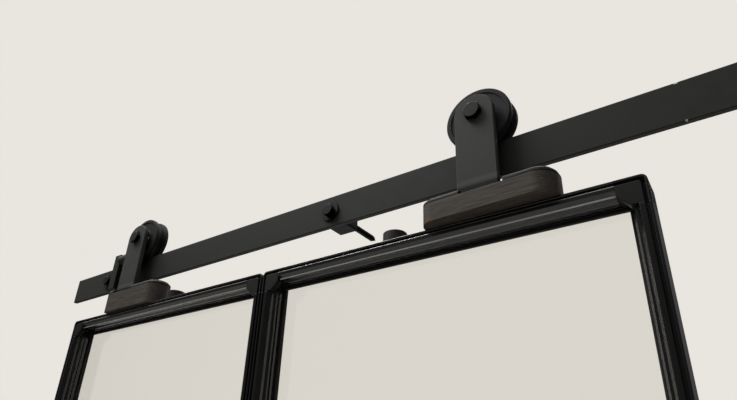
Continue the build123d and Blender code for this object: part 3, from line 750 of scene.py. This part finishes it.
# %% coach screws
coach_neck, neck_end, washer_face = 3.5, -1.0, 38.0
coach_rings = ([(neck_end, 0, 0), (neck_end, coach_neck, 0), (washer_face, coach_neck, 0)]
               + bolt_head_rings(washer_face, height=5.5, flats=13, corner=7.5, mid_cone=6.98,
                                 seat=6.2, face=6.2))
screws = bmesh.new()
for mount in frame["record"]["mounts"]:
    point = Vector(mount["pos_m"])
    add_rings(screws, standing("room", point), coach_rings)
    add_thread(screws, standing("wall", point), root=3.0, crest=4.0, pitch=3.6, start=0.0, end=50.0,
               tip=8.0)
make_piece("coach_screws_threaded", screws, oxide, "track", "coach_screws")

# %% [markdown]
# The stops are held by countersunk screws from the back of the track, and the discs by smaller
# ones from above. Both have a hexagon socket. Only the heads show, so their shanks stay plain.

# %% countersunk screws
end_chamfer, rim_height = 0.6, 0.1


def countersunk_rings(top, length, shank, end_radius, head, cone, flats, depth):
    """Rings of a countersunk screw from its end up to its socket, in millimetres."""
    end = top - length
    return [(end, 0, 0), (end, end_radius, 0), (end + end_chamfer, shank, 0), (top - cone, shank, 0),
            (top - rim_height, head, 0), (top, head - rim_height, 0)] + socket_rings(top, flats, depth)


stop_half_spacing = 11.0
track_back = -30.0
stop_rings = countersunk_rings(track_back, length=11.5, shank=3.0, end_radius=2.4, head=5.4, cone=3.0,
                               flats=4.0, depth=2.0)
stop_screws = bmesh.new()
for side in ("left", "right"):
    lowest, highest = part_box("stop_bar_" + side)
    for z in (-stop_half_spacing, stop_half_spacing):
        middle = Vector(((lowest.x + highest.x) / 2, 0.0, z * mm))
        add_rings(stop_screws, standing("wall", middle), stop_rings)
make_piece("stop_screws_socketed", stop_screws, oxide, "track", "stop_screws")

disc_rings = countersunk_rings(0.0, length=19.8, shank=2.5, end_radius=2.0, head=4.7, cone=2.6,
                               flats=3.2, depth=1.8)
disc_screws = bmesh.new()
for side in ("left", "right"):
    lowest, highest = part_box("lift_disc_" + side)
    middle = Vector(((lowest.x + highest.x) / 2, (lowest.y + highest.y) / 2, highest.z))
    add_rings(disc_screws, standing("up", middle), disc_rings)
make_piece("disc_screws_socketed", disc_screws, oxide, "door", "disc_screws")

# %% [markdown]
# Two pan-headed screws go down through each strap's foot and its wooden block into the hollow
# rail, where they cut a thread. Their places and lengths are read from the CAD nodes, because the
# two blocks differ in height.

# %% foot screws
head_radius, shank_radius, threaded_length, overlap = 5.5, 3.0, 14, 2
pan_head = [(-3.5, 5.3, 0), (-3.3, head_radius, 0), (-1.9, head_radius, 0), (-1.0, 5.1, 0), (-0.3, 4.3, 0),
            (0.0, 3.2, 0)] + socket_rings(0.0, flats=4.0, depth=2.0)
for side in ("left", "right"):
    lowest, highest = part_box("foot_screws_" + side)
    length = (highest.z - lowest.z) / mm
    shank_end = threaded_length - overlap - length
    foot_rings = [(shank_end, 0, 0), (shank_end, 2.6, 0), (shank_end + 1, shank_radius, 0),
                  (pan_head[0][0], shank_radius, 0)] + pan_head
    foot_screws = bmesh.new()
    for x in (lowest.x + head_radius * mm, highest.x - head_radius * mm):
        top = Vector((x, (lowest.y + highest.y) / 2, highest.z))
        add_rings(foot_screws, standing("up", top), foot_rings)
        downwards = standing("up", top) @ Matrix.Rotation(math.pi, 4, "X")
        add_thread(foot_screws, downwards, root=2.5, crest=3.0, pitch=1.0,
                   start=length - threaded_length, end=length - 0.5, tip=0.5)
    make_piece("foot_screws_" + side + "_socketed", foot_screws, oxide, "door",
               "foot_screws_" + side)

# %% [markdown]
# The axle of each wheel is a hexagon-headed bolt. Its crown is turned to a cone, and a machine
# thread shows past the nut behind the wheel. The right bolt stands a quarter of a flat further
# round than the left, as it came to rest when it was tightened.

# %% axle bolts
flats_turn = {"left": 30.0, "right": 15.0}
shank_start, axle_radius, strap_front = 12.0, 5.0, 54.8
axle_rings = ([(shank_start, 0, 0), (shank_start, 4.6, 0), (shank_start + 1, axle_radius, 0),
               (strap_front, axle_radius, 0)]
              + bolt_head_rings(strap_front, height=5.5, flats=17, corner=9.8, mid_cone=9.14,
                                seat=8.2, face=8.1))
for side, axle in axles.items():
    bolt = bmesh.new()
    on_wall = Vector((axle.x, 0.0, axle.z))
    add_rings(bolt, standing("room", on_wall, flats_turn[side]), axle_rings)
    add_thread(bolt, standing("wall", on_wall), root=4.3, crest=axle_radius, pitch=1.5, start=-20.0,
               end=-9.1, tip=0.8)
    make_piece("axle_bolt_" + side + "_threaded", bolt, oxide, "door",
               "axle_bolt_" + side)
